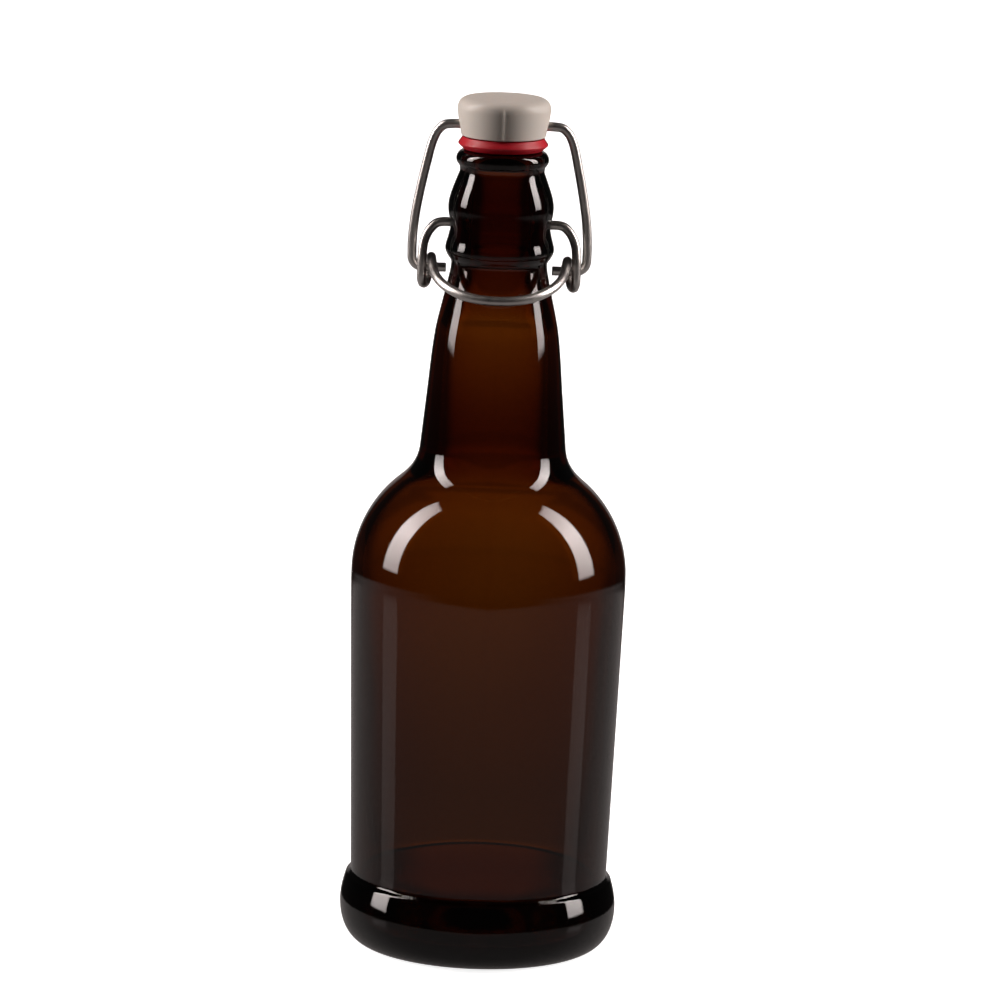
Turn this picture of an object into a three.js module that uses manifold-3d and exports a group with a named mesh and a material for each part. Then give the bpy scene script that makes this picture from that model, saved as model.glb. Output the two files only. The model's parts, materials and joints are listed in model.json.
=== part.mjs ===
// Swing-top bottle of amber glass, half-litre size, standing on its base and closed.
//
// Millimetres, +Z up. The origin is the centre of the base, on the surface the bottle
// stands on. The closure is worked from the front, which is the -Y side.
//
// The closure is five pieces in all with the bottle: the lever wire turns in two dimples
// of the neck, the bail wire turns in the lever's two eyes, and the stopper turns on the
// bail's top run and carries the rubber gasket.

import * as THREE from 'three';
import { mergeVertices } from 'three/addons/utils/BufferGeometryUtils.js';
import Module from 'manifold-3d';

// ---------------------------------------------------------------- driving dimensions

const TURN = Math.PI / 180;
const GAP = 0.3;                    // clearance kept between pieces that touch

// Glass
const BODY_SEGMENTS = 40;
const BEARING_INNER = 28.5;         // flat ring that the bottle stands on
const BEARING_OUTER = 31.5;
const PUSH_UP = 5;                  // height of the hollow under the base
const HEEL_RADIUS = 40.1;           // widest place, on the heel bead
const HEEL_Z = 12.2;
const HEEL_RIDGE = { r: 38.8, z: 19.5 };   // top edge of the heel bead, over a short ledge
const PANEL_FOOT = { r: 37.23, z: 21.8 };
const PANEL_HEAD = { r: 39.7, z: 106 };
const SHOULDER = { r: 4.7, z: 110, arc: 35, sweep: 50.5 * TURN, innerSweep: 47 * TURN };
const NECK_FOOT = { r: 20.95, z: 148 };
const NECK_HEAD = { r: 18.1, z: 178 };
const COLLAR_GROOVE = { r: 13.75, z: 200.4 };
const COLLAR_FOOT = { r: 14.4, z: 202 };
const COLLAR = { r: 15.62, z: 204.9 };
const WAIST = { r: 14.58, z: 210.6 };
const BULGE = { r: 15.13, z: 217 };
const LIP_GROOVE = { r: 12.15, z: 227.4 };
const LIP = { r: 10.8, z: 230.8, bead: 2.5 };
const MOUTH_Z = 233.3;
const BORE_RADIUS = 8.4;
const BORE_ROUNDING = 0.9;
const WALL = 3.1;                   // glass thickness of the body
const FLOOR_THICKNESS = 5.5;

// Closure wires
const WIRE_RADIUS = 1.35;
const WIRE_SIDES = 10;
const PIVOT_Z = 212;                // the lever's axis, through the two dimples
const EYE_Z = 198.7;                // the bail's axis, through the lever's two eyes
const EYE_Y = 0.6;                  // behind the lever's axis, so that tension locks it
const BORE_Z = 240.4;               // the stopper's axis, along the bail's top run
const PIVOT_TIP_X = 13.5;
const DIMPLE = { floorX: 13.1, mouthX: 15.6, floorRadius: 1.8, mouthRadius: 2.9 };
const ARM_X = 22.1;
const EYE_REACH = 3.0;              // from the bail's axis to the wire around it
const EYE_FOOT_Z = 193.9;
const LOOP_HALF_WIDTH = 19.2;       // where the loop leaves the eyes
const LOOP_FRONT = { y: -22, z: 193 };
const BAIL_HALF_WIDTH = 25.1;
const BAIL_BEND = 3.2;
const BAIL_TIP_X = 15.2;

// Stopper and gasket
const STOPPER_SEGMENTS = 40;
const HEAD_FOOT = { r: 12.1, z: 237.4 };
const HEAD_WIDEST = { r: 13.4, z: 245.2 };
const HEAD_TOP_Z = 249;
const STEM_RADIUS = 5.9;
const BUTTON = { r: 6.9, top: 230.7, foot: 229.5 };
const WIRE_HOLE_RADIUS = WIRE_RADIUS + GAP;
const GASKET_RIM = { r: 12.9, z: 235.2 };
const GASKET_TOP = { r: 11.8, z: HEAD_FOOT.z - GAP };
const GASKET_FOOT = { r: 11.6, z: MOUTH_Z + GAP };
const GASKET_HOLE = STEM_RADIUS + GAP;
const PLUG_TOP_RADIUS = 7.7;
const PLUG_FOOT = { r: 7.2, z: BUTTON.top + GAP };

// ---------------------------------------------------------------- helpers

const wasm = await Module();
wasm.setup();

const at = (r, z) => new THREE.Vector2(r, z);

/** Points of a circular arc in a profile, from angle a to angle b, in count steps. */
function arc(centre, radius, a, b, count) {
  return new THREE.EllipseCurve(centre.r, centre.z, radius, radius, a, b, b < a)
    .getPoints(count);
}

/** Points of a smooth curve that leaves and arrives along its two control points. */
function bend(from, leave, arrive, to, count) {
  return new THREE.CubicBezierCurve(from, leave, arrive, to).getPoints(count);
}

/** A profile of (radius, height) points turned about the Z axis. */
function turned(profile, segments) {
  const distinct = profile.filter(
    (p, i) => i === 0 || p.distanceTo(profile[i - 1]) > 1e-3);
  return new THREE.LatheGeometry(distinct, segments).rotateX(Math.PI / 2);
}

/** A round wire along a curve, with flat ends. */
function wire(curve, steps) {
  const section = new THREE.Shape().absarc(0, 0, WIRE_RADIUS, 0, 2 * Math.PI);
  return new THREE.ExtrudeGeometry(section, {
    extrudePath: curve, steps, curveSegments: WIRE_SIDES / 2, bevelEnabled: false,
  });
}

function toSolid(geometry) {
  const bare = geometry.index ? geometry.toNonIndexed() : geometry.clone();
  bare.deleteAttribute('normal');
  bare.deleteAttribute('uv');
  const welded = mergeVertices(bare, 1e-4);
  return new wasm.Manifold(new wasm.Mesh({
    numProp: 3,
    vertProperties: new Float32Array(welded.attributes.position.array),
    triVerts: new Uint32Array(welded.index.array),
  }));
}

function toGeometry(solid) {
  const mesh = solid.getMesh();
  const geometry = new THREE.BufferGeometry();
  geometry.setAttribute('position',
    new THREE.BufferAttribute(Float32Array.from(mesh.vertProperties), 3));
  geometry.setIndex(new THREE.BufferAttribute(Uint32Array.from(mesh.triVerts), 1));
  geometry.computeVertexNormals();
  return geometry;
}

/** Cuts every tool out of a geometry. */
function cut(geometry, tools) {
  const solid = tools.reduce((left, tool) => left.subtract(toSolid(tool)), toSolid(geometry));
  return toGeometry(solid);
}

const mirrored = (points) => [
  ...points.map((p) => new THREE.Vector3(-p.x, p.y, p.z)),
  ...points.slice(0, -1).reverse().map((p) => p.clone()),
];

// ---------------------------------------------------------------- glass

/** Outside of the glass, from the middle of the base up to the mouth. */
function glassOutside() {
  const heel = at(HEEL_RADIUS, HEEL_Z);
  const heelRidge = at(HEEL_RIDGE.r, HEEL_RIDGE.z);
  const panelFoot = at(PANEL_FOOT.r, PANEL_FOOT.z);
  const shoulderEnd = at(
    SHOULDER.r + SHOULDER.arc * Math.cos(SHOULDER.sweep),
    SHOULDER.z + SHOULDER.arc * Math.sin(SHOULDER.sweep));
  const neckFoot = at(NECK_FOOT.r, NECK_FOOT.z);
  return [
    ...bend(at(0, PUSH_UP), at(12, PUSH_UP), at(22, 3.2), at(BEARING_INNER, 0), 4),
    ...bend(at(BEARING_OUTER, 0), at(37, 0), at(HEEL_RADIUS, 5.2), heel, 6),
    ...bend(heel, at(HEEL_RADIUS, 14.6), at(39.43, 17.4), heelRidge, 3),
    ...bend(heelRidge, at(38.5, 20.5), at(37.22, 20.2), panelFoot, 5),
    at(PANEL_HEAD.r, PANEL_HEAD.z),
    ...arc(SHOULDER, SHOULDER.arc, 0, SHOULDER.sweep, 8),
    ...bend(shoulderEnd, at(23.6, 139.8), at(21.2, 142.8), neckFoot, 5),
    ...bend(at(NECK_HEAD.r, NECK_HEAD.z), at(17.5, 184), at(15.6, 190.5),
      at(14.35, 196.5), 5),
    at(COLLAR_GROOVE.r, COLLAR_GROOVE.z),
    ...bend(at(COLLAR_FOOT.r, COLLAR_FOOT.z), at(15, 202.9), at(COLLAR.r, 203.8),
      at(COLLAR.r, COLLAR.z), 3),
    ...bend(at(COLLAR.r, COLLAR.z), at(COLLAR.r, 206.4), at(WAIST.r, 208),
      at(WAIST.r, WAIST.z), 3),
    ...bend(at(WAIST.r, WAIST.z), at(WAIST.r, 213), at(BULGE.r, 214.6),
      at(BULGE.r, BULGE.z), 3),
    ...bend(at(BULGE.r, BULGE.z), at(BULGE.r, 219.6), at(13.7, 223),
      at(12.3, 226.7), 4),
    at(LIP_GROOVE.r, LIP_GROOVE.z),
    ...arc(LIP, LIP.bead, -50 * TURN, 90 * TURN, 6),
  ];
}

/** Inside of the glass, from the mouth down to the middle of the floor. */
function glassInside() {
  const floor = FLOOR_THICKNESS + PUSH_UP;
  const innerFoot = at(PANEL_FOOT.r - WALL, 24);
  const shoulderArc = arc(SHOULDER, SHOULDER.arc - WALL, SHOULDER.innerSweep, 0, 5);
  return [
    ...arc({ r: BORE_RADIUS + BORE_ROUNDING, z: MOUTH_Z - BORE_ROUNDING },
      BORE_ROUNDING, 90 * TURN, 180 * TURN, 2),
    ...bend(at(BORE_RADIUS, 208), at(BORE_RADIUS, 199.5), at(9.4, 196.5), at(11, 191.5), 3),
    ...bend(at(11, 191.5), at(12.6, 186.5), at(14.2, 185.5), at(14.7, 179.5), 3),
    ...bend(at(14.7, 179.5), at(15.4, 171), at(15.6, 158), at(15.9, 147), 2),
    ...bend(at(15.9, 147), at(16.1, 141), at(20, 138.9), shoulderArc[0], 4),
    ...shoulderArc,
    ...bend(innerFoot, at(innerFoot.x, 14), at(34.6, 12), at(34.2, 9.5), 2),
    ...bend(at(34.2, 9.5), at(33.7, 6.2), at(30.5, 5.2), at(26, 5.6), 4),
    ...bend(at(19, 6.6), at(12, 9.6), at(6, floor), at(0, floor), 2),
  ];
}

function bottle() {
  const glass = turned([...glassOutside(), ...glassInside()], BODY_SEGMENTS);
  const depth = DIMPLE.mouthX - DIMPLE.floorX;
  const dimples = [-1, 1].map((side) =>
    new THREE.CylinderGeometry(DIMPLE.mouthRadius, DIMPLE.floorRadius, depth, 16)
      .rotateZ(-side * Math.PI / 2)
      .translate(side * (DIMPLE.floorX + depth / 2), 0, PIVOT_Z));
  return cut(glass, dimples);
}

// ---------------------------------------------------------------- closure

/** Head, stem and the button under it that keeps the gasket on, bored along X. */
function stopper() {
  const profile = [
    at(0, BUTTON.foot),
    at(BUTTON.r - 0.5, BUTTON.foot),
    at(BUTTON.r, BUTTON.foot + 0.5),
    at(BUTTON.r, BUTTON.top),
    at(STEM_RADIUS, BUTTON.top),
    at(STEM_RADIUS, HEAD_FOOT.z),
    at(HEAD_FOOT.r - 0.4, HEAD_FOOT.z),
    at(HEAD_FOOT.r, HEAD_FOOT.z + 0.4),
    ...bend(at(12.9, 241.6), at(13.2, 243), at(HEAD_WIDEST.r, 244.2),
      at(HEAD_WIDEST.r, HEAD_WIDEST.z), 3),
    ...bend(at(HEAD_WIDEST.r, HEAD_WIDEST.z), at(HEAD_WIDEST.r, 247.2),
      at(12.2, 248.2), at(10.6, 248.5), 4),
    ...bend(at(10.6, 248.5), at(8, HEAD_TOP_Z - 0.1), at(4, HEAD_TOP_Z),
      at(0, HEAD_TOP_Z), 3),
  ];
  const wireHole = new THREE.CylinderGeometry(
    WIRE_HOLE_RADIUS, WIRE_HOLE_RADIUS, 4 * HEAD_WIDEST.r, 16)
    .rotateZ(Math.PI / 2)
    .translate(0, 0, BORE_Z);
  return cut(turned(profile, STOPPER_SEGMENTS), [wireHole]);
}

/** Rubber ring with a double-bevelled rim and a short tapered plug. */
function gasket() {
  const profile = [
    at(GASKET_HOLE, PLUG_FOOT.z),
    at(PLUG_FOOT.r, PLUG_FOOT.z),
    at(PLUG_TOP_RADIUS, GASKET_FOOT.z),
    at(GASKET_FOOT.r, GASKET_FOOT.z),
    at(GASKET_RIM.r, GASKET_RIM.z - 0.15),
    at(GASKET_RIM.r, GASKET_RIM.z + 0.15),
    at(GASKET_TOP.r, GASKET_TOP.z),
    at(GASKET_HOLE, GASKET_TOP.z),
    at(GASKET_HOLE, PLUG_FOOT.z),
  ];
  return new THREE.LatheGeometry(profile, STOPPER_SEGMENTS).rotateX(Math.PI / 2);
}

/** The bail: a stub in each eye, a bend up, a bowed leg and the run through the stopper. */
function bailWire() {
  const point = (x, z) => new THREE.Vector3(x, EYE_Y * (BORE_Z - z) / (BORE_Z - EYE_Z), z);
  const bendCentre = { x: BAIL_HALF_WIDTH - BAIL_BEND, z: EYE_Z + BAIL_BEND };
  const onBend = [15, 35, 55, 75].map((angle) => point(
    bendCentre.x + BAIL_BEND * Math.sin(angle * TURN),
    bendCentre.z - BAIL_BEND * Math.cos(angle * TURN)));
  const side = [
    point(BAIL_TIP_X, EYE_Z),
    point(bendCentre.x - 3, EYE_Z),
    point(bendCentre.x - 0.8, EYE_Z),
    ...onBend,
    point(BAIL_HALF_WIDTH, bendCentre.z + 1),
    point(BAIL_HALF_WIDTH, 206.5),
    point(24.6, 213),
    point(23.5, 220),
    point(21.9, 228),
    point(20.1, 235.5),
    point(18.8, 238.3),
    point(17.0, 240.0),
    point(14.8, BORE_Z),
    point(8, BORE_Z),
    point(0, BORE_Z),
  ];
  return wire(new THREE.CatmullRomCurve3(mirrored(side), false, 'centripetal'), 104);
}

/** The lever: pivot ends, arms, an eye around each bail stub, and the thumb loop. */
function leverWire() {
  const point = (x, y, z) => new THREE.Vector3(x, y, z);
  const front = EYE_Y - EYE_REACH;
  const back = EYE_Y + EYE_REACH;
  const loopStart = point(LOOP_HALF_WIDTH, -2.5, 200.8);
  const onLoop = [20, 40, 60, 75, 90].map((angle) => {
    const across = Math.cos(angle * TURN) ** 0.9;
    const along = Math.sin(angle * TURN);
    return point(
      loopStart.x * across,
      loopStart.y + (LOOP_FRONT.y - loopStart.y) * along,
      loopStart.z + (LOOP_FRONT.z - loopStart.z) * along);
  });
  const side = [
    point(PIVOT_TIP_X, 0, PIVOT_Z),
    point(16.6, 0, PIVOT_Z),
    point(18.4, -0.1, 211.5),
    point(20.4, -0.6, 209.4),
    point(21.7, -1.3, 206.3),
    point(ARM_X, front + 0.1, 202.5),
    point(ARM_X + 0.05, front, EYE_Z),
    point(ARM_X, front + 0.2, 195.9),
    point(ARM_X - 0.3, EYE_Y - 1.7, EYE_FOOT_Z + 0.5),
    point(ARM_X - 0.8, EYE_Y, EYE_FOOT_Z),
    point(ARM_X - 1.3, EYE_Y + 1.7, EYE_FOOT_Z + 0.5),
    point(ARM_X - 1.7, back - 0.1, 196.2),
    point(ARM_X - 2.1, back, EYE_Z),
    point(ARM_X - 2.4, EYE_Y + 2.1, EYE_Z + 2.15),
    point(LOOP_HALF_WIDTH + 0.3, EYE_Y, EYE_Z + EYE_REACH),
    loopStart,
    ...onLoop,
  ];
  return wire(new THREE.CatmullRomCurve3(mirrored(side), false, 'centripetal'), 132);
}

// ---------------------------------------------------------------- assembly

const finishes = {
  amberGlass: { color: 0x4a1c06, roughness: 0.08, metalness: 0 },
  stopperPlastic: { color: 0xb9aea6, roughness: 0.38, metalness: 0 },
  redRubber: { color: 0xa3122a, roughness: 0.55, metalness: 0 },
  steelWire: { color: 0x8f8b88, roughness: 0.3, metalness: 1 },
};

function named(name, geometry, finish) {
  const mesh = new THREE.Mesh(geometry, new THREE.MeshStandardMaterial(finish));
  mesh.name = name;
  return mesh;
}

const swingTopBottle = new THREE.Group();
swingTopBottle.add(
  named('bottle', bottle(), finishes.amberGlass),
  named('lever_wire', leverWire(), finishes.steelWire),
  named('bail_wire', bailWire(), finishes.steelWire),
  named('stopper_head', stopper(), finishes.stopperPlastic),
  named('gasket', gasket(), finishes.redRubber),
);

export default swingTopBottle;
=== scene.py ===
"""Swing-top bottle of amber glass, closed, in a plain studio.

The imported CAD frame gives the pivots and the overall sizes. The pieces here are the fine
surfaces that stand for the faceted CAD nodes: glass, two wires, stopper head and gasket.
Lengths are in millimetres until a mesh is made, and the meshes are in metres.
"""

import json
import math

import bpy
from mathutils import Matrix, Vector, noise


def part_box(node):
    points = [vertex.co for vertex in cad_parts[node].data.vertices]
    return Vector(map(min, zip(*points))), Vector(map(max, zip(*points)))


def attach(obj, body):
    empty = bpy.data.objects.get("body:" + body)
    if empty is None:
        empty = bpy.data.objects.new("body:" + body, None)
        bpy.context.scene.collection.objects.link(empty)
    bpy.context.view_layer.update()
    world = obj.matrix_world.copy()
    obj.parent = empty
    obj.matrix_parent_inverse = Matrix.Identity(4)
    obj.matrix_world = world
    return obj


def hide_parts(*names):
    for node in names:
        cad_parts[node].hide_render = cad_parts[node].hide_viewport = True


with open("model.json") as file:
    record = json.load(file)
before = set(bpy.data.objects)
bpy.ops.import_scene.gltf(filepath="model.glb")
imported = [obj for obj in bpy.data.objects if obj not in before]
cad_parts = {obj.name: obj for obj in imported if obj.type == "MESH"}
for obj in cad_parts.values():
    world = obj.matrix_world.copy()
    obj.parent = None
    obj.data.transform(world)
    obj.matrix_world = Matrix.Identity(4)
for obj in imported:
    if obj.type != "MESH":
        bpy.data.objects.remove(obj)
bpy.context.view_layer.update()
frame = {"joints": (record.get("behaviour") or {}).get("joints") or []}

MM = 0.001
TURN = math.pi / 180


def joint_place(name):
    """(y, z) of a hinge in millimetres; every hinge of the closure runs along X."""
    joint = next(j for j in frame["joints"] if j["name"] == name)
    return joint["pos_m"][1] / MM, joint["pos_m"][2] / MM


# ---------------------------------------------------------------- sizes from the frame

PIVOT_Y, PIVOT_Z = joint_place("lever_pivot")
EYE_Y, EYE_Z = joint_place("bail_pivot")
BORE_Y, BORE_Z = joint_place("stopper_pivot")
MOUTH_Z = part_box("bottle")[1].z / MM
HEEL_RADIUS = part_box("bottle")[1].x / MM
HEAD_TOP_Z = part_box("stopper_head")[1].z / MM
BUTTON_FOOT_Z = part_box("stopper_head")[0].z / MM
HEAD_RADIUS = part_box("stopper_head")[1].x / MM
GASKET_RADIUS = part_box("gasket")[1].x / MM
GASKET_TOP_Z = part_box("gasket")[1].z / MM
PLUG_FOOT_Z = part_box("gasket")[0].z / MM
WIRE_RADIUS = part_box("lever_wire")[1].z / MM - PIVOT_Z
GAP = 0.3

# ---------------------------------------------------------------- glass sizes

# A bracketed pair is a place in the outline, as radius and height.
GLASS_COLUMNS = 192
BEARING_INNER, BEARING_OUTER = 28.5, 31.5
PUSH_UP = 5.0
HEEL_Z = 12.2
HEEL_RIDGE = (38.8, 19.5)
LEDGE_RIM = (38.35, 20.24)
LEDGE_ROOT = (37.9, 20.44)
PANEL_FOOT = (37.23, 21.8)
PANEL_HEAD = (39.7, 106.0)
SHOULDER_CENTRE = (4.7, 110.0)
SHOULDER_ARC = 35.0
SHOULDER_SWEEP, SHOULDER_INNER_SWEEP = 50.5, 47
NECK_FOOT = (20.95, 148.0)
NECK_LOW = (19.53, 163.0)
NECK_MIDDLE = (17.69, 181.0)
NECK_HIGH = (14.35, 196.5)
COLLAR_GROOVE = (13.75, 200.4)
COLLAR_FOOT = (14.4, 202.0)
COLLAR = (15.62, 204.9)
WAIST = (14.58, 210.6)
BULGE = (15.13, 217.0)
LIP_GROOVE_FOOT = (12.3, 226.7)
LIP_GROOVE_HEAD = (12.2, 228.1)
LIP_FOOT = (12.45, 228.95)
LIP_CENTRE = (10.8, 230.8)
LIP_BEAD = MOUTH_Z - LIP_CENTRE[1]

BORE_RADIUS = 8.4
BORE_ROUNDING = 0.9
BORE_END_Z = 208.0
INNER_NECK_HIGH = (11.0, 191.5)
INNER_NECK_MIDDLE = (14.7, 179.5)
INNER_NECK_LOW = (15.9, 147.0)
INNER_HEEL_Z = 24.0
INNER_HEEL = (34.2, 9.5)
INNER_FLOOR_RIM = (26.0, 5.6)
WALL = 3.1
FLOOR_THICKNESS = 5.5

DIMPLE_FLOOR_X = 13.1
DIMPLE_FLOOR_RADIUS, DIMPLE_MOUTH_RADIUS = 1.9, 3.0
SEAM_FOOT_Z, SEAM_HEAD_Z = HEEL_Z + 6, 227.4
SEAM_HEIGHT, SEAM_WIDTH = 0.07, 0.45
STIPPLE_HEIGHT = 0.22

# ---------------------------------------------------------------- curves


def arc(centre, radius, start, end, count):
    """Points of a circular arc in a profile, between two angles in degrees."""
    angles = [TURN * (start + (end - start) * i / count) for i in range(count + 1)]
    return [(centre[0] + radius * math.cos(a), centre[1] + radius * math.sin(a)) for a in angles]


def bend(start, leave, arrive, end, count):
    """Points of a smooth curve that leaves and arrives along its two control points."""
    points = []
    for i in range(count + 1):
        t = i / count
        u = 1 - t
        weights = (u * u * u, 3 * u * u * t, 3 * u * t * t, t * t * t)
        points.append(tuple(
            sum(w * p[k] for w, p in zip(weights, (start, leave, arrive, end)))
            for k in (0, 1)))
    return points


def line(start, end, count):
    """Evenly spaced points of a straight stretch."""
    return [tuple(a + (b - a) * i / count for a, b in zip(start, end)) for i in range(count + 1)]


def joined(*stretches):
    """The stretches as one list, with no point given twice in a row."""
    points = []
    for stretch in stretches:
        for p in stretch:
            if not points or math.dist(p, points[-1]) > 1e-4:
                points.append(p)
    return points


def smooth_step(low, high, value):
    """0 below low, 1 above high, and a smooth rise between them."""
    t = min(1.0, max(0.0, (value - low) / (high - low)))
    return t * t * (3 - 2 * t)


def through(points, per_span):
    """A centripetal Catmull-Rom curve through the points, as the CAD's wires use."""
    p = [Vector(q) for q in points]
    p = [p[0] * 2 - p[1], *p, p[-1] * 2 - p[-2]]
    curve = []
    for a, b, c, d in zip(p, p[1:], p[2:], p[3:]):
        knots = [0.0]
        for s, e in ((a, b), (b, c), (c, d)):
            knots.append(knots[-1] + max((e - s).length, 1e-6) ** 0.5)
        t0, t1, t2, t3 = knots
        for i in range(per_span):
            t = t1 + (t2 - t1) * i / per_span
            a1 = a * ((t1 - t) / (t1 - t0)) + b * ((t - t0) / (t1 - t0))
            a2 = b * ((t2 - t) / (t2 - t1)) + c * ((t - t1) / (t2 - t1))
            a3 = c * ((t3 - t) / (t3 - t2)) + d * ((t - t2) / (t3 - t2))
            b1 = a1 * ((t2 - t) / (t2 - t0)) + a2 * ((t - t0) / (t2 - t0))
            b2 = a2 * ((t3 - t) / (t3 - t1)) + a3 * ((t - t1) / (t3 - t1))
            curve.append(b1 * ((t2 - t) / (t2 - t1)) + b2 * ((t - t1) / (t2 - t1)))
    return [*curve, p[-2]]


# ---------------------------------------------------------------- meshes


def add_mesh(name, points, faces, smooth_angle=40):
    """An object from points in millimetres, shaded smooth except at sharp edges."""
    mesh = bpy.data.meshes.new(name)
    mesh.from_pydata([Vector(p) * MM for p in points], [], faces)
    mesh.validate()
    mesh.shade_smooth()
    mesh.set_sharp_from_angle(angle=smooth_angle * TURN)
    piece = bpy.data.objects.new(name, mesh)
    bpy.context.scene.collection.objects.link(piece)
    return piece


def lathe(name, profile, columns, place=None, closed=False, smooth_angle=40):
    """Turns a profile of (radius, height) about Z. A profile that isn't closed starts and
    ends on the axis. place(r, z, angle, index) gives a point's own radius and height."""
    points, rings = [], []
    for index, (r, z) in enumerate(profile):
        if r < 1e-6:
            rings.append([len(points)] * columns)
            points.append((0.0, 0.0, z))
            continue
        ring = []
        for column in range(columns):
            angle = 2 * math.pi * column / columns
            pr, pz = place(r, z, angle, index) if place else (r, z)
            ring.append(len(points))
            points.append((pr * math.cos(angle), pr * math.sin(angle), pz))
        rings.append(ring)
    pairs = list(zip(rings, rings[1:]))
    if closed:
        pairs.append((rings[-1], rings[0]))
    faces = []
    for low, high in pairs:
        for column in range(columns):
            nxt = (column + 1) % columns
            corners = [low[column], low[nxt], high[nxt], high[column]]
            distinct = list(dict.fromkeys(corners))
            if len(distinct) > 2:
                faces.append(distinct)
    return add_mesh(name, points, faces, smooth_angle)


def wire_stations(curve):
    """Middle, direction and radius along a wire, its two cut ends broken by a chamfer."""
    chamfer = 0.16
    last = len(curve) - 1
    tangents = [
        (curve[min(i + 1, last)] - curve[max(i - 1, 0)]).normalized()
        for i in range(last + 1)]
    start, end = curve[0], curve[-1]
    return [
        (start, tangents[0], WIRE_RADIUS - chamfer),
        (start + tangents[0] * chamfer, tangents[0], WIRE_RADIUS),
        *((p, t, WIRE_RADIUS) for p, t in zip(curve[1:-1], tangents[1:-1])),
        (end - tangents[-1] * chamfer, tangents[-1], WIRE_RADIUS),
        (end, tangents[-1], WIRE_RADIUS - chamfer)]


def wire(name, curve, sides=20):
    """A round wire along a curve, with a UV map that runs along it."""
    stations = wire_stations(curve)
    normal = stations[0][1].orthogonal().normalized()
    points, along, travelled = [], [], 0.0
    previous = curve[0]
    for place, tangent, radius in stations:
        travelled += (place - previous).length
        previous = place
        normal = (normal - tangent * normal.dot(tangent)).normalized()
        across = tangent.cross(normal)
        for side in range(sides):
            angle = 2 * math.pi * side / sides
            points.append(place + (normal * math.cos(angle) + across * math.sin(angle)) * radius)
        along.append(travelled)
    faces = []
    for ring in range(len(stations) - 1):
        for side in range(sides):
            nxt = (side + 1) % sides
            faces.append([
                ring * sides + side, ring * sides + nxt,
                (ring + 1) * sides + nxt, (ring + 1) * sides + side])
    faces.append(list(reversed(range(sides))))
    faces.append(list(range((len(stations) - 1) * sides, len(stations) * sides)))
    piece = add_mesh(name, points, faces, smooth_angle=50)
    lay_uv_along(piece.data, along, sides)
    return piece


def lay_uv_along(mesh, along, sides):
    """U runs round the wire once and V is the length along it in centimetres."""
    layer = mesh.uv_layers.new(name="Along")
    for face in mesh.polygons:
        ring_sides = [mesh.loops[i].vertex_index % sides for i in face.loop_indices]
        wraps = max(ring_sides) - min(ring_sides) > sides / 2 and len(ring_sides) == 4
        for loop, side in zip(face.loop_indices, ring_sides):
            u = (side + sides if wraps and side == 0 else side) / sides
            v = along[mesh.loops[loop].vertex_index // sides] / 10
            layer.data[loop].uv = (u, v)


# ---------------------------------------------------------------- glass


def glass_outside():
    """Outside of the glass from the middle of the base to the top of the lip."""
    heel = (HEEL_RADIUS, HEEL_Z)
    shoulder_start, shoulder_end = arc(SHOULDER_CENTRE, SHOULDER_ARC, 0, SHOULDER_SWEEP, 1)
    return joined(
        bend((0, PUSH_UP), (12, PUSH_UP), (22, 3.2), (BEARING_INNER, 0), 20),
        line((BEARING_INNER, 0), (BEARING_OUTER, 0), 6),
        bend((BEARING_OUTER, 0), (37, 0), (HEEL_RADIUS, 5.2), heel, 22),
        bend(heel, (HEEL_RADIUS, 14.6), (39.43, 17.4), HEEL_RIDGE, 12),
        bend(HEEL_RIDGE, (38.68, 19.9), (38.6, 20.13), LEDGE_RIM, 8),
        line(LEDGE_RIM, LEDGE_ROOT, 3),
        bend(LEDGE_ROOT, (37.45, 20.64), (37.23, 20.8), PANEL_FOOT, 10),
        line(PANEL_FOOT, PANEL_HEAD, 24),
        bend(PANEL_HEAD, (39.76, 108), (39.7, 109), shoulder_start, 4),
        arc(SHOULDER_CENTRE, SHOULDER_ARC, 0, SHOULDER_SWEEP, 40),
        bend(shoulder_end, (23.6, 139.8), (21.2, 142.8), NECK_FOOT, 18),
        line(NECK_FOOT, NECK_LOW, 8),
        bend(NECK_LOW, (18.96, 169), (18.6, 175), NECK_MIDDLE, 14),
        bend(NECK_MIDDLE, (17.2, 184.3), (15.6, 190.5), NECK_HIGH, 16),
        bend(NECK_HIGH, (14.0, 198.2), (13.75, 199.4), COLLAR_GROOVE, 6),
        bend(COLLAR_GROOVE, (13.78, 201.1), (14.0, 201.6), COLLAR_FOOT, 5),
        bend(COLLAR_FOOT, (15, 202.9), (COLLAR[0], 203.8), COLLAR, 10),
        bend(COLLAR, (COLLAR[0], 206.4), (WAIST[0], 208), WAIST, 14),
        bend(WAIST, (WAIST[0], 213), (BULGE[0], 214.6), BULGE, 16),
        bend(BULGE, (BULGE[0], 219.6), (13.7, 223), LIP_GROOVE_FOOT, 18),
        bend(LIP_GROOVE_FOOT, (12.15, 227.1), (12.1, 227.4), LIP_GROOVE_HEAD, 5),
        bend(LIP_GROOVE_HEAD, (12.28, 228.5), (12.35, 228.8), LIP_FOOT, 3),
        arc(LIP_CENTRE, LIP_BEAD, -48, 90, 24),
    )


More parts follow.
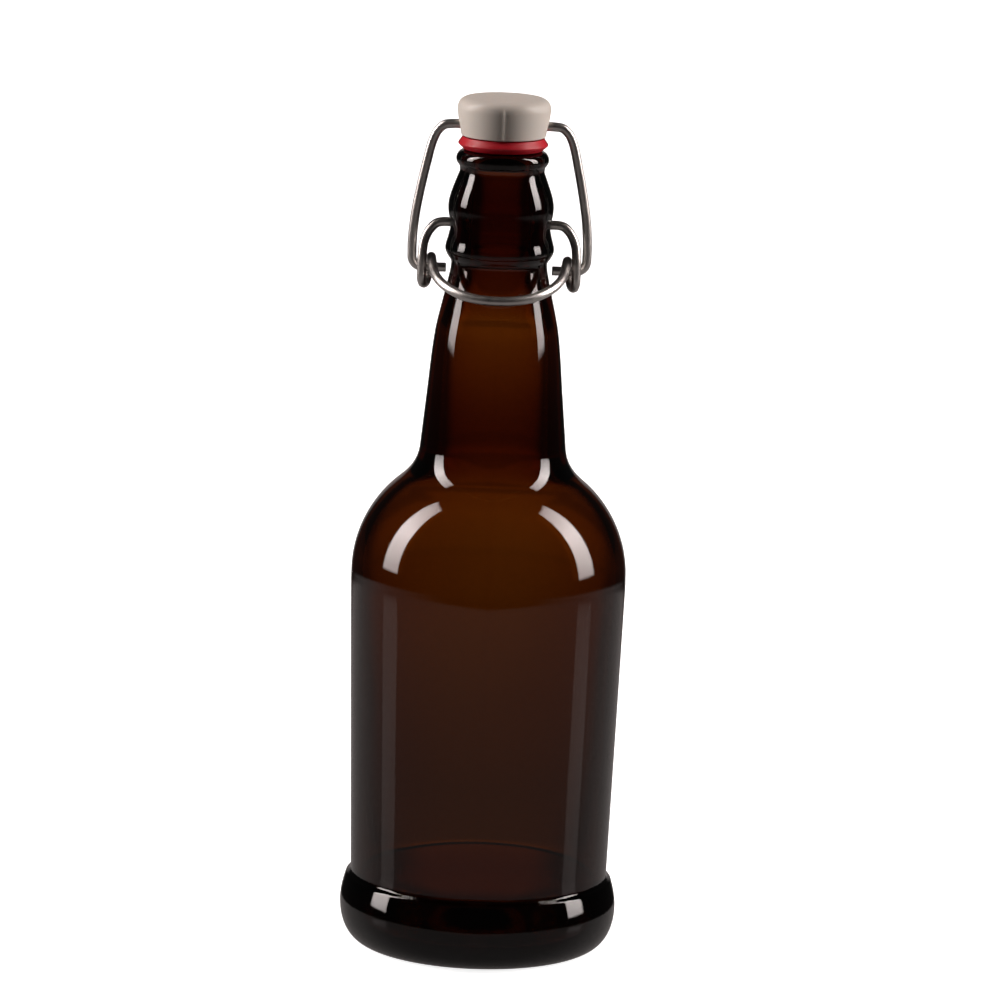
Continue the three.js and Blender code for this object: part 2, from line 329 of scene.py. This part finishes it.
def glass_inside():
    """Inside of the glass from the mouth down to the middle of the floor."""
    floor = PUSH_UP + FLOOR_THICKNESS
    rounding = (BORE_RADIUS + BORE_ROUNDING, MOUTH_Z - BORE_ROUNDING)
    bore_end = (BORE_RADIUS, BORE_END_Z)
    shoulder = arc(SHOULDER_CENTRE, SHOULDER_ARC - WALL, SHOULDER_INNER_SWEEP, 0, 30)
    inner_foot = (PANEL_FOOT[0] - WALL, INNER_HEEL_Z)
    return joined(
        arc(rounding, BORE_ROUNDING, 90, 180, 8),
        line((BORE_RADIUS, rounding[1]), bore_end, 14),
        bend(bore_end, (BORE_RADIUS, 199.5), (9.4, 196.5), INNER_NECK_HIGH, 14),
        bend(INNER_NECK_HIGH, (12.6, 186.5), (14.2, 185.5), INNER_NECK_MIDDLE, 12),
        bend(INNER_NECK_MIDDLE, (15.4, 171), (15.6, 158), INNER_NECK_LOW, 12),
        bend(INNER_NECK_LOW, (16.1, 141), (20, 138.9), shoulder[0], 18),
        shoulder,
        line(shoulder[-1], inner_foot, 16),
        bend(inner_foot, (inner_foot[0], 14), (34.6, 12), INNER_HEEL, 10),
        bend(INNER_HEEL, (33.7, 6.2), (30.5, 5.2), INNER_FLOOR_RIM, 12),
        bend(INNER_FLOOR_RIM, (19, 6.2), (11, floor), (0, floor), 14),
    )


def glass():
    """The bottle: a moulded outside and a blown inside, as one closed skin."""
    outside = glass_outside()
    profile = joined(outside, glass_inside())

    def place(r, z, angle, index):
        if index >= len(outside):
            return blown_wall(r, z, angle), z
        r = dimpled(bridged(r, z, angle), z, angle)
        return r + mould_seam(r, z, angle), z + stipple(r, z, angle)

    return lathe("glass_bottle", profile, GLASS_COLUMNS, place)


def blown_wall(r, z, angle):
    """The inside's radius, which wanders by a tenth or two because it isn't moulded. The
    floor and the bore stay true."""
    if z > PIVOT_Z - 10 or r < 6:
        return r
    spot = Vector((math.cos(angle) * 1.2, math.sin(angle) * 1.2, z / 38))
    return r * (1 + 0.006 * noise.noise(spot) * smooth_step(12, 40, z))


def dimpled(r, z, angle):
    """The radius with the lever's two pivot dimples pressed in, on the left and right."""
    x = abs(r * math.cos(angle))
    y = r * math.sin(angle)
    off = math.hypot(y - PIVOT_Y, z - PIVOT_Z)
    if off > DIMPLE_MOUTH_RADIUS or x < DIMPLE_FLOOR_X:
        return r
    depth = 1 - smooth_step(DIMPLE_FLOOR_RADIUS - 0.4, DIMPLE_MOUTH_RADIUS, off)
    return math.hypot(x + (DIMPLE_FLOOR_X - x) * depth, y)


def bridged(r, z, angle):
    """The waist is full depth only at the sides, where the lever's dimples are. At the
    front and back the glass runs nearly straight down from the bulge to the collar."""
    if not COLLAR[1] < z < BULGE[1]:
        return r
    straight = BULGE[0] - 0.004 * (BULGE[1] - z)
    eased = (r + straight) / 2 + math.hypot((r - straight) / 2, 0.04) - 0.04
    return r + (eased - r) * (1 - smooth_step(0.78, 0.95, abs(math.cos(angle))))


def seam_distance(r, angle):
    """Distance round the surface to the nearer of the two mould seams, front and back."""
    return r * min(abs(angle - math.pi / 2), abs(angle - 3 * math.pi / 2))


def mould_seam(r, z, angle):
    """Height of the two fine seams at front and back, where the mould halves met."""
    if not SEAM_FOOT_Z < z < SEAM_HEAD_Z:
        return 0.0
    return SEAM_HEIGHT * math.exp(-(seam_distance(r, angle) / SEAM_WIDTH) ** 2)


def stipple(r, z, angle):
    """Depth of the grooves between the short radial ribs of the bearing ring, which are
    pressed up from the surface that the bottle stands on."""
    column = round(angle / (2 * math.pi) * GLASS_COLUMNS)
    on_ring = z <= 0.01 and BEARING_INNER + 0.2 <= r <= BEARING_OUTER - 0.2
    return STIPPLE_HEIGHT if on_ring and column % 2 else 0.0


# ---------------------------------------------------------------- closure


def mirrored(side):
    """A wire's whole route from its right half, which runs from the tip to the middle."""
    return [(-x, y, z) for x, y, z in side] + side[-2::-1]


def bail_wire():
    half_width, radius, tip = 25.1, 3.2, 15.2
    rise = BORE_Z - EYE_Z

    def at(x, z):
        return (x, EYE_Y * (BORE_Z - z) / rise + BORE_Y * (z - EYE_Z) / rise, z)

    centre = (half_width - radius, EYE_Z + radius)
    turn = [at(*p) for p in arc(centre, radius, -75, -15, 3)]
    side = [
        at(tip, EYE_Z), at(centre[0] - 3, EYE_Z), at(centre[0] - 0.8, EYE_Z),
        *turn,
        at(half_width, centre[1] + 1), at(half_width, 206.5), at(24.6, 213),
        at(23.5, 220), at(21.9, 228), at(20.1, 235.5), at(18.8, 238.3), at(17, 240),
        at(14.8, BORE_Z), at(8, BORE_Z), at(0, BORE_Z)]
    return wire("bail", through(mirrored(side), 9))


def lever_wire():
    arm, reach, foot = 22.1, 3.0, 193.9
    front, back = EYE_Y - reach, EYE_Y + reach
    loop_start = Vector((19.2, -2.5, 200.8))
    loop_front = Vector((0, -22, 193))
    loop = []
    for angle in (20, 40, 60, 75, 90):
        across = max(math.cos(angle * TURN), 0) ** 0.9
        along = math.sin(angle * TURN)
        spot = loop_start.lerp(loop_front, along)
        loop.append((loop_start.x * across, spot.y, spot.z))
    loop[-1] = tuple(loop_front)
    side = [
        (13.5, PIVOT_Y, PIVOT_Z), (16.6, PIVOT_Y, PIVOT_Z), (18.4, -0.1, 211.5),
        (20.4, -0.6, 209.4), (21.7, -1.3, 206.3), (arm, front + 0.1, 202.5),
        (arm + 0.05, front, EYE_Z), (arm, front + 0.2, 195.9),
        (arm - 0.3, EYE_Y - 1.7, foot + 0.5), (arm - 0.8, EYE_Y, foot),
        (arm - 1.3, EYE_Y + 1.7, foot + 0.5), (arm - 1.7, back - 0.1, 196.2),
        (arm - 2.1, back, EYE_Z), (arm - 2.4, EYE_Y + 2.1, EYE_Z + 2.15),
        (loop_start.x + 0.3, EYE_Y, EYE_Z + reach), tuple(loop_start), *loop]
    return wire("lever", through(mirrored(side), 9))


def stopper_head():
    """Moulded head, stem and retaining button, with a raised parting line front and back
    and a cross hole for the bail."""
    foot = GASKET_TOP_Z + GAP
    foot_radius, foot_round = 12.1, 0.4
    stem, button, button_top, button_round = 5.9, 6.9, 230.7, 0.5
    widest = (HEAD_RADIUS, 245.2)
    crown = (10.6, 248.5)
    profile = joined(
        [(0, BUTTON_FOOT_Z)],
        line((2, BUTTON_FOOT_Z), (button - button_round, BUTTON_FOOT_Z), 3),
        arc((button - button_round, BUTTON_FOOT_Z + button_round), button_round, -90, 0, 5),
        [(button, button_top), (stem, button_top), (stem, foot)],
        line((stem, foot), (foot_radius - foot_round, foot), 4),
        arc((foot_radius - foot_round, foot + foot_round), foot_round, -90, -10, 5),
        bend((foot_radius, foot + foot_round), (12.55, 239.6), (13.2, 242.6), widest, 22),
        bend(widest, (HEAD_RADIUS, 247.2), (12.2, 248.25), crown, 20),
        bend(crown, (8, HEAD_TOP_Z - 0.1), (4, HEAD_TOP_Z), (0, HEAD_TOP_Z), 14),
    )

    def place(r, z, angle, _):
        if r < 10 or z < foot + foot_round:
            return r, z
        return r + parting_line(r, z, angle), z

    head = lathe("stopper_cap", profile, 288, place, smooth_angle=35)
    bore_out(head, WIRE_RADIUS + GAP)
    return head


def parting_line(r, z, angle):
    """Height of the ridge up the head's front and back, which fades out near the top."""
    height, width = 0.14, 0.26
    fade = 1 - smooth_step(246.0, 247.5, z)
    return height * math.exp(-(seam_distance(r, angle) / width) ** 2) * fade


def bore_out(head, radius):
    """Cuts the bail's hole along X, its two mouths eased by a small countersink."""
    reach = HEAD_RADIUS + 3
    mouth = 12.35
    half = [(radius, mouth - 0.35), (radius + 0.35, mouth + 0.1), (radius + 2.0, reach), (0, reach)]
    profile = [(r, -z) for r, z in reversed(half)] + half
    cutter = lathe("bore_cutter", profile, 48)
    cutter.matrix_world = (
        Matrix.Translation(Vector((0, BORE_Y, BORE_Z)) * MM) @ Matrix.Rotation(90 * TURN, 4, "Y"))
    apply_cut(head, cutter)


def apply_cut(piece, cutter):
    """Subtracts cutter from piece and removes it."""
    bpy.context.view_layer.update()
    cut = piece.modifiers.new("cut", "BOOLEAN")
    cut.operation = "DIFFERENCE"
    cut.solver = "EXACT"
    cut.object = cutter
    graph = bpy.context.evaluated_depsgraph_get()
    mesh = bpy.data.meshes.new_from_object(piece.evaluated_get(graph))
    piece.modifiers.clear()
    piece.data = mesh
    bpy.data.objects.remove(cutter)


def gasket_ring():
    """Rubber ring: a double bevel with a fine flash line at the rim, and a tapered plug."""
    hole, plug = 6.2, 7.2
    corner, rim_round = 0.25, 0.3
    rim_z = 235.2
    seat = MOUTH_Z + GAP
    plug_head, seat_start = (7.75, seat - 0.2), (8.1, seat)
    top = GASKET_TOP_Z
    profile = joined(
        arc((hole + corner, PLUG_FOOT_Z + corner), corner, 180, 270, 3),
        arc((plug - corner, PLUG_FOOT_Z + corner), corner, -90, -10, 4),
        bend((plug, PLUG_FOOT_Z + 0.4), (7.4, 232), (7.6, seat - 0.5), plug_head, 4),
        bend(plug_head, (7.8, seat), (7.9, seat), seat_start, 3),
        line(seat_start, (11.2, seat), 4),
        arc((11.25, seat + 0.45), 0.45, -90, -35, 4),
        line((11.7, seat + 0.3), (GASKET_RADIUS - 0.15, rim_z - 0.35), 6),
        arc((GASKET_RADIUS - rim_round, rim_z), rim_round, -55, 55, 6),
        line((GASKET_RADIUS - 0.15, rim_z + 0.35), (11.85, top - corner), 6),
        arc((11.6, top - corner), corner, 10, 90, 4),
        line((11.5, top), (hole, top), 5),
    )
    return lathe("rubber_gasket", profile, 160, closed=True, smooth_angle=50)


# ---------------------------------------------------------------- materials


class Nodes:
    """A node tree whose nodes are linked as they are made."""

    def __init__(self, tree):
        self.tree = tree

    def add(self, kind, inputs=None, **settings):
        node = self.tree.nodes.new(kind)
        for key, value in settings.items():
            setattr(node, key, value)
        for key, value in (inputs or {}).items():
            self.set(node, key, value)
        return node

    def set(self, node, key, value):
        if isinstance(value, bpy.types.NodeSocket):
            self.tree.links.new(value, node.inputs[key])
        else:
            node.inputs[key].default_value = value

    def place(self, scale=(1, 1, 1), source="Object"):
        where = self.add("ShaderNodeTexCoord").outputs[source]
        return self.add("ShaderNodeMapping", {"Vector": where, "Scale": scale}).outputs["Vector"]

    def noise(self, vector, scale, detail=3.0, roughness=0.5):
        return self.add("ShaderNodeTexNoise", {
            "Vector": vector, "Scale": scale, "Detail": detail, "Roughness": roughness,
        }).outputs["Fac"]

    def math(self, operation, *values):
        return self.add("ShaderNodeMath", dict(enumerate(values)), operation=operation).outputs[0]

    def ramp(self, value, low, high, to_low, to_high, shape="LINEAR"):
        return self.add("ShaderNodeMapRange", {
            "Value": value, "From Min": low, "From Max": high,
            "To Min": to_low, "To Max": to_high}, interpolation_type=shape).outputs["Result"]

    def between(self, value, low, high):
        node = self.add("ShaderNodeMix", data_type="RGBA")
        self.set(node, "Factor", value)
        node.inputs[6].default_value = (*low, 1)
        node.inputs[7].default_value = (*high, 1)
        return node.outputs[2]

    def bump(self, height, strength, distance):
        return self.add("ShaderNodeBump", {
            "Height": height, "Strength": strength, "Distance": distance}).outputs["Normal"]


class Surface(Nodes):
    """A material with its principled shader and its output at hand."""

    def __init__(self, name):
        self.material = bpy.data.materials.new(name)
        self.material.use_nodes = True
        super().__init__(self.material.node_tree)
        self.shader = self.tree.nodes["Principled BSDF"]
        self.output = self.tree.nodes["Material Output"]


def amber_glass():
    """Brown bottle glass: the colour comes from absorption over the wall's thickness."""
    n = Surface("amber_glass")
    s = n.shader
    where = n.place()
    streaks = n.noise(n.place((1, 1, 0.35)), 60, 2.0)
    n.set(s, "Base Color", n.between(streaks, (0.94, 0.92, 0.9), (1, 1, 1)))
    n.set(s, "Roughness", n.ramp(n.noise(where, 180, 4.0), 0.35, 0.75, 0.015, 0.05))
    s.inputs["Transmission Weight"].default_value = 1.0
    s.inputs["IOR"].default_value = 1.52
    n.set(s, "Normal", n.bump(n.noise(n.place((1, 1, 0.5)), 45, 1.0), 0.08, 0.002))
    absorb = n.add("ShaderNodeVolumeAbsorption", {
        "Color": (0.793, 0.591, 0.091, 1), "Density": 1100.0})
    n.tree.links.new(absorb.outputs["Volume"], n.output.inputs["Volume"])
    return n.material


def drawn_steel():
    """Stainless wire with fine draw lines along it and small dull patches."""
    n = Surface("drawn_steel")
    s = n.shader
    lines = n.noise(n.place((34, 0.35, 1), "UV"), 3.0, 4.0, 0.65)
    patches = n.noise(n.place((2, 2.2, 1), "UV"), 1.6, 3.0)
    n.set(s, "Base Color", n.between(patches, (0.7, 0.67, 0.64), (0.86, 0.83, 0.8)))
    s.inputs["Metallic"].default_value = 1.0
    worn = n.math("MULTIPLY", lines, patches)
    n.set(s, "Roughness", n.ramp(worn, 0.12, 0.4, 0.27, 0.4))
    n.set(s, "Normal", n.bump(lines, 0.25, 0.0001))
    return n.material


def moulded_plastic():
    """Warm grey plastic, satin, with a faint orange-peel and slight colour drift."""
    n = Surface("moulded_plastic")
    s = n.shader
    drift = n.noise(n.place((1, 1, 0.5)), 140, 3.0)
    n.set(s, "Base Color", n.between(drift, (0.6, 0.545, 0.485), (0.65, 0.59, 0.53)))
    n.set(s, "Roughness", n.ramp(n.noise(n.place(), 900, 3.0), 0.3, 0.7, 0.34, 0.46))
    s.inputs["IOR"].default_value = 1.49
    s.inputs["Subsurface Weight"].default_value = 0.3
    s.inputs["Subsurface Radius"].default_value = (0.004, 0.003, 0.0024)
    n.set(s, "Normal", n.bump(n.noise(n.place(), 1400, 2.0), 0.12, 0.0001))
    return n.material


def red_rubber():
    """Soft red rubber, a little translucent, with a dusting of bloom."""
    n = Surface("red_rubber")
    s = n.shader
    bloom = n.noise(n.place(), 420, 4.0)
    n.set(s, "Base Color", n.between(bloom, (0.42, 0.002, 0.01), (0.52, 0.005, 0.018)))
    n.set(s, "Roughness", n.ramp(bloom, 0.3, 0.7, 0.38, 0.52))
    s.inputs["Subsurface Weight"].default_value = 0.2
    s.inputs["Subsurface Radius"].default_value = (0.002, 0.0004, 0.0003)
    n.set(s, "Normal", n.bump(n.noise(n.place(), 2200, 2.0), 0.1, 0.0001))
    return n.material


# ---------------------------------------------------------------- studio

CAMERA_PLACE = (0.0, -2.0, 0.522)
CAMERA_PITCH, CAMERA_YAW, CAMERA_ROLL = 11.052, 0.0742, 1.98
SENSOR = 36.0
LENS = 254.16
PANEL_RADIANCE = 14.0
PANEL_THROUGH_GLASS = 0.15
PANEL_FRONT_EDGE, PANEL_BACK_EDGE = -8.0, 10.0
PANEL_WIDENING = 0.04
# Each pair is an elevation in degrees and the share of the radiance there.
PANEL_GLOW = (
    (-35, 0.005), (-20, 0.018), (-15, 0.036), (-12, 0.02), (-10, 0), (-1, 0), (1, 0.4),
    (8, 0.55), (20, 0.78), (30, 1), (36, 0.9), (42, 0.76), (50, 0.6), (56, 0.45), (58.5, 0))
DARKNESS = 0.012
BACK_GLOW = 0.33
TABLE_GLOW_NEAR, TABLE_GLOW_FAR = 0.165, 0.24
# The table's far edge, as the height of a unit direction: where the table starts, where
# it is full, and how much higher that is at the sides.
TABLE_START, TABLE_FULL, TABLE_RISE = -0.213, -0.243, 0.054
# Each step is where it starts and ends behind the bottle, in metres, and its two factors.
# # The first is the bottle's painted shadow, the second a painted brighter band of light,
# # and the third a painted fall-off of light far behind.
TABLE_STEPS = ((0.02, 0.06, 0.1, 1), (0.105, 0.13, 1.9, 1), (1.15, 1.4, 1, 0.7))
LAMP_SIZE, LAMP_POWER = 0.6, 6.0
LAMP_PLACE = (1.18, 0.09, 0.27)
LAMP_AIM = (0, 0, 0.24)


def camera():
    """A long lens in front of the bottle, looking down a little and leaning slightly."""
    data = bpy.data.cameras.new("camera")
    data.sensor_width = SENSOR
    data.lens = LENS
    data.clip_end = 50
    pitch, yaw, roll = (a * TURN for a in (CAMERA_PITCH, CAMERA_YAW, CAMERA_ROLL))
    forward = Vector((
        math.sin(yaw) * math.cos(pitch), math.cos(yaw) * math.cos(pitch), -math.sin(pitch)))
    right = Vector((math.cos(yaw), -math.sin(yaw), 0))
    up = right.cross(forward)
    axes = (
        right * math.cos(roll) + up * math.sin(roll),
        up * math.cos(roll) - right * math.sin(roll),
        -forward)
    made = bpy.data.objects.new("camera", data)
    made.matrix_world = Matrix.Translation(CAMERA_PLACE) @ Matrix(axes).transposed().to_4x4()
    bpy.context.scene.collection.objects.link(made)
    bpy.context.scene.camera = made


def studio_world():
    """The studio as the bottle sees it: two tall soft panels at its sides, a grey table
    below, a dim glow behind, and darkness elsewhere. The panels are weak through glass,
    so that they don't streak the far wall."""
    world = bpy.data.worlds.new("studio")
    world.use_nodes = True
    n = Nodes(world.node_tree)
    where = n.add("ShaderNodeTexCoord").outputs["Generated"]
    x, y, z = n.add("ShaderNodeSeparateXYZ", {"Vector": where}).outputs
    sideways = n.math("ABSOLUTE", x)
    through_glass = n.add("ShaderNodeLightPath").outputs["Is Transmission Ray"]
    dimming = n.ramp(through_glass, 0, 1, 1, PANEL_THROUGH_GLASS)
    panels = n.math("MULTIPLY", side_panels(n, sideways, y, z), dimming)
    glow = n.math("MAXIMUM", panels, surroundings(n, sideways, y, z))
    n.set(n.tree.nodes["Background"], "Strength", glow)
    n.tree.nodes["Background"].inputs["Color"].default_value = (1, 0.91, 0.885, 1)
    bpy.context.scene.world = world


def side_panels(n, sideways, y, z):
    """Brightness of the panels, by the angle off the bottle's side and the height. They
    are a little wider at the top, towards the back. The weak part below the horizon is
    their reflection in the table."""
    turn = n.math("DEGREES", n.math("ARCTAN2", y, sideways))
    elevation = n.math("DEGREES", n.math("ARCSINE", z))
    front_edge = n.ramp(turn, PANEL_FRONT_EDGE - 1, PANEL_FRONT_EDGE + 1, 0, 1, "SMOOTHSTEP")
    narrowed = n.math("SUBTRACT", turn, n.math("MULTIPLY", elevation, PANEL_WIDENING))
    back_edge = n.ramp(narrowed, PANEL_BACK_EDGE - 2, PANEL_BACK_EDGE + 1, 1, 0, "SMOOTHSTEP")
    across = n.math("MULTIPLY", front_edge, back_edge)
    low = PANEL_GLOW[0][0]
    high = PANEL_GLOW[-1][0]
    profile = n.add("ShaderNodeValToRGB", {"Fac": n.ramp(elevation, low, high, 0, 1)})
    stops = profile.color_ramp.elements
    for at, glow in PANEL_GLOW[1:-1]:
        stops.new((at - low) / (high - low))
    for stop, (_, glow) in zip(stops, PANEL_GLOW):
        stop.color = (glow, glow, glow, 1)
    return n.math("MULTIPLY", n.math("MULTIPLY", profile.outputs["Color"], across), PANEL_RADIANCE)


def soft_fill(side):
    """A weak lamp for the matt pieces, which no glass or metal mirrors."""
    data = bpy.data.lights.new("soft_fill", "AREA")
    data.size = LAMP_SIZE
    data.energy = LAMP_POWER
    lamp = bpy.data.objects.new("soft_fill", data)
    place = Vector((side * LAMP_PLACE[0], *LAMP_PLACE[1:]))
    aim = Vector(LAMP_AIM) - place
    lamp.matrix_world = Matrix.Translation(place) @ aim.to_track_quat("-Z", "Y").to_matrix().to_4x4()
    lamp.visible_glossy = False
    lamp.visible_transmission = False
    bpy.context.scene.collection.objects.link(lamp)


def surroundings(n, sideways, y, z):
    """Brightness of the table and the backdrop."""
    edge = n.math("SUBTRACT", z, n.math("MULTIPLY", sideways, TABLE_RISE))
    below = n.ramp(edge, TABLE_START, TABLE_FULL, 0, 1, "SMOOTHSTEP")
    glow = n.ramp(y, -0.3, 0.5, TABLE_GLOW_NEAR, TABLE_GLOW_FAR, "SMOOTHSTEP")
    table = n.math("MULTIPLY", below, glow)
    behind = n.ramp(y, 0.93, 0.985, DARKNESS, BACK_GLOW, "SMOOTHSTEP")
    return n.math("MAXIMUM", table, behind)


def plane(name, reach, z):
    """A level square, reach metres to each side of the middle."""
    mesh = bpy.data.meshes.new(name)
    corners = [(-reach, -reach, 0), (reach, -reach, 0), (reach, reach, 0), (-reach, reach, 0)]
    mesh.from_pydata(corners, [], [(0, 1, 2, 3)])
    made = bpy.data.objects.new(name, mesh)
    made.location.z = z
    bpy.context.scene.collection.objects.link(made)
    return made


def shown_to(piece, camera_rays, through_glass):
    """Keeps a studio surface out of every ray but the camera's or those through glass."""
    piece.visible_camera = camera_rays
    piece.visible_transmission = through_glass
    piece.visible_diffuse = False
    piece.visible_glossy = False
    piece.visible_shadow = False


def glowing_surface(name, colour):
    """A surface that only glows and reflects nothing."""
    n = Surface(name)
    n.shader.inputs["Base Color"].default_value = (0, 0, 0, 1)
    n.shader.inputs["Specular IOR Level"].default_value = 0
    n.shader.inputs["Emission Color"].default_value = (*colour, 1)
    return n


def pale_stage():
    """A plain pale floor and surround that only the camera sees, so that the glass mirrors
    the studio and not a white room."""
    floor = plane("floor", 12.0, -0.0002)
    pale = Surface("pale_floor")
    pale.shader.inputs["Base Color"].default_value = (0.8, 0.8, 0.8, 1)
    pale.shader.inputs["Roughness"].default_value = 0.9
    pale.shader.inputs["Emission Color"].default_value = (1, 1, 1, 1)
    pale.shader.inputs["Emission Strength"].default_value = 0.88
    floor.data.materials.append(pale.material)
    dome = lathe("backdrop", [(11e3, -200), (11e3, 2e3), (9e3, 7e3), (5e3, 9.8e3), (0, 10.5e3)], 48)
    glow = glowing_surface("pale_backdrop", (1, 1, 1))
    glow.shader.inputs["Emission Strength"].default_value = 1.0
    dome.data.materials.append(glow.material)
    for piece in (floor, dome):
        shown_to(piece, camera_rays=True, through_glass=False)


def table_behind():
    """The lit table behind the bottle, as it is seen through the glass, with its light and shade
    painted into the glow: a painted shadow of the bottle close to it, painted light that
    grows away from it, and a painted pool of light no wider than the backdrop's light."""
    table = plane("table_behind", 4.0, -0.0006)
    n = glowing_surface("table_glow", (1, 0.85, 0.8))
    where = n.add("ShaderNodeTexCoord").outputs["Object"]
    x, y, _ = n.add("ShaderNodeSeparateXYZ", {"Vector": where}).outputs
    # Painted light: the glow grows away from the bottle.
    away = n.ramp(y, 0.2, 0.85, BACK_GLOW * 0.27, BACK_GLOW)
    # Painted shadow of the bottle close to it, a painted bright band and a painted far fall-off.
    for start, end, before, after in TABLE_STEPS:
        away = n.math("MULTIPLY", away, n.ramp(y, start, end, before, after, "SMOOTHSTEP"))
    # Painted edge of the pool of light, which is no wider than the backdrop's light.
    slant = n.math("DIVIDE", n.math("ABSOLUTE", x), n.math("MAXIMUM", y, 0.01))
    beam = n.ramp(slant, 0.2, 0.42, 1, 0.25, "SMOOTHSTEP")
    n.set(n.shader, "Emission Strength", n.math("MULTIPLY", away, beam))
    table.data.materials.append(n.material)
    shown_to(table, camera_rays=False, through_glass=True)


# ---------------------------------------------------------------- assembly

camera()
pale_stage()
table_behind()
studio_world()
for lamp_side in (-1, 1):
    soft_fill(lamp_side)

scene = bpy.context.scene
scene.view_settings.view_transform = "Standard"
scene.cycles.caustics_reflective = False
scene.cycles.caustics_refractive = False
scene.cycles.max_bounces = 16
scene.cycles.transmission_bounces = 14
scene.cycles.glossy_bounces = 8

steel = drawn_steel()
pieces = (
    (glass(), "bottle", "bottle", "amber_glass", amber_glass()),
    (lever_wire(), "lever", "lever_wire", "steel_wire", steel),
    (bail_wire(), "bail", "bail_wire", "steel_wire", steel),
    (stopper_head(), "stopper", "stopper_head", "stopper_plastic", moulded_plastic()),
    (gasket_ring(), "stopper", "gasket", "red_rubber", red_rubber()),
)
for piece, body, node, slot, material in pieces:
    piece.data.materials.clear()
    piece.data.materials.append(material)
    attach(piece, body)
    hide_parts(node)
